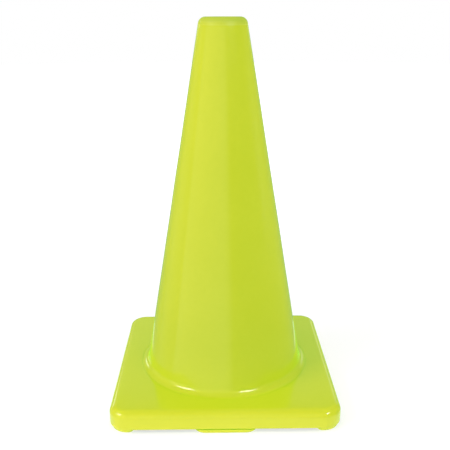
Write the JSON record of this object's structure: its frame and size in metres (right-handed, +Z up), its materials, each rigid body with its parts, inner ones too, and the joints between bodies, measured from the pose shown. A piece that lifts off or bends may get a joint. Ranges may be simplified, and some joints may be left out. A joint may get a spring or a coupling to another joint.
{
  "type": "traffic cone",
  "caption": "Fluorescent lime PVC traffic cone: a hollow tapered body with an open top on a flat square weighted base with rounded corners and low feet.",
  "frame": {"origin": "on the ground, under the cone's axis, at the middle of the base", "axes": "+Z up along the cone's axis, -Y towards the front side of the square base, +X to the right; the sides of the base are parallel to X and Y"},
  "size_m": [0.27, 0.27, 0.4572],
  "materials": {
    "lime_pvc": "fluorescent lime flexible PVC, smooth with a soft semi-gloss",
    "black_recycled_pvc": "black recycled PVC, matt and slightly grainy"
  },
  "bodies": {
    "root": {"cone_body": "lime_pvc", "base_cover": "lime_pvc", "base_weight": "black_recycled_pvc", "side_foot_front": "lime_pvc", "side_foot_right": "lime_pvc", "side_foot_back": "lime_pvc", "side_foot_left": "lime_pvc", "corner_foot_front_right": "lime_pvc", "corner_foot_back_right": "lime_pvc", "corner_foot_back_left": "lime_pvc", "corner_foot_front_left": "lime_pvc"}
  },
  "joints": []
}
